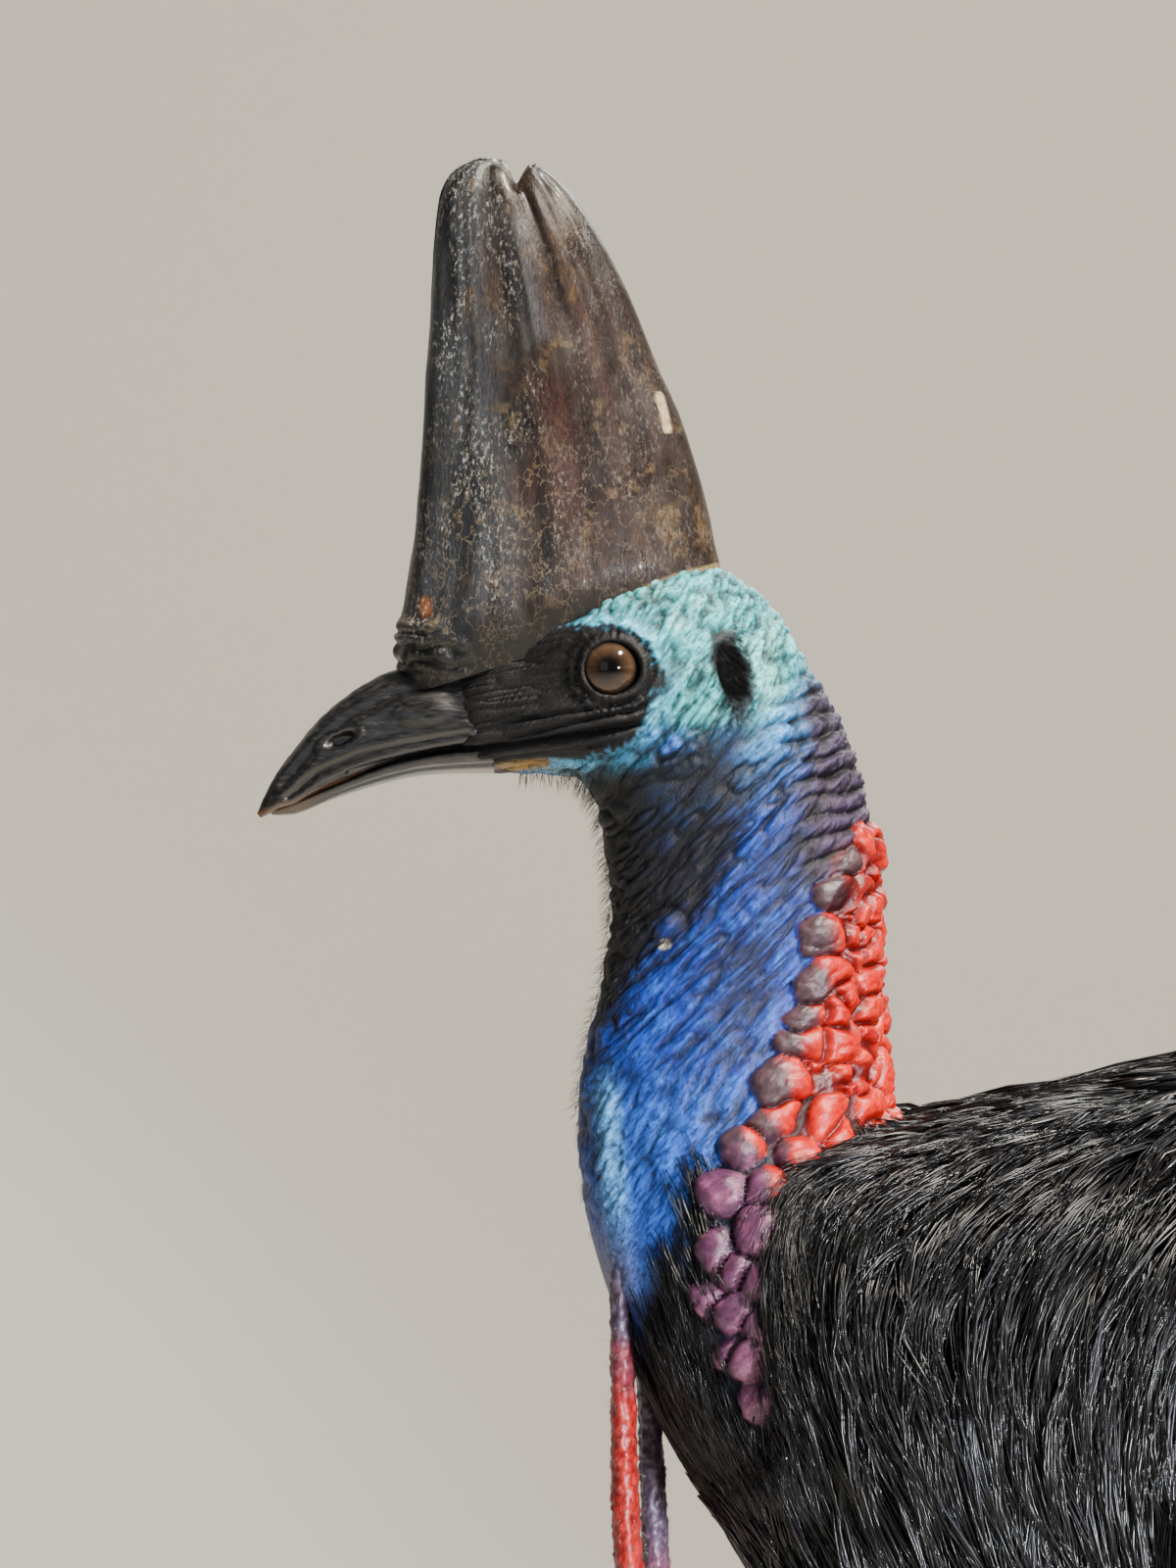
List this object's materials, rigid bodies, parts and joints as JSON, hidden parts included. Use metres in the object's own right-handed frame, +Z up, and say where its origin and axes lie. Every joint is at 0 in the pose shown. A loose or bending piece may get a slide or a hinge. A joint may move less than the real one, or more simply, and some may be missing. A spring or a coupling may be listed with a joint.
{
  "type": "cassowary figure",
  "caption": "Life-size standing cassowary: tall casque, bare blue and red neck with wattles, shaggy black plumage, scaled legs with clawed toes, in one still pose.",
  "frame": {"origin": "centre of the bird's bounding box, on the floor between and ahead of its feet", "axes": "+Z up, -X the way the bird faces, -Y its left side"},
  "size_m": [1.044, 0.4243, 1.42],
  "materials": {
    "casque": "satin horn",
    "bill": "polished horn",
    "face_skin": "wrinkled bare skin",
    "throat_skin": "wrinkled bare skin",
    "nape_skin": "folded and lumpy bare skin",
    "collar_skin": "folded and lumpy bare skin",
    "wattle": "granular bare skin",
    "plumage": "glossy, coarse, hair-like",
    "eye": "wet gloss",
    "ear": "matte",
    "leg": "scuted",
    "claw": "polished horn",
    "quill": "glossy"
  },
  "bodies": {
    "root": {"casque": "casque", "bill_upper": "bill", "bill_lower": "bill", "head": "face_skin", "throat": "throat_skin", "nape": "nape_skin", "collar": "collar_skin", "torso": "plumage", "tail": "plumage", "eye_left": "eye", "ear_left": "ear", "wattle_left": "wattle", "thigh_left": "plumage", "wing_left": "quill", "shank_left": "leg", "foot_left": "leg", "claw_left_inner": "claw", "claw_left_middle": "claw", "claw_left_outer": "claw", "eye_right": "eye", "ear_right": "ear", "wattle_right": "wattle", "thigh_right": "plumage", "wing_right": "quill", "shank_right": "leg", "foot_right": "leg", "claw_right_inner": "claw", "claw_right_middle": "claw", "claw_right_outer": "claw"}
  },
  "joints": []
}
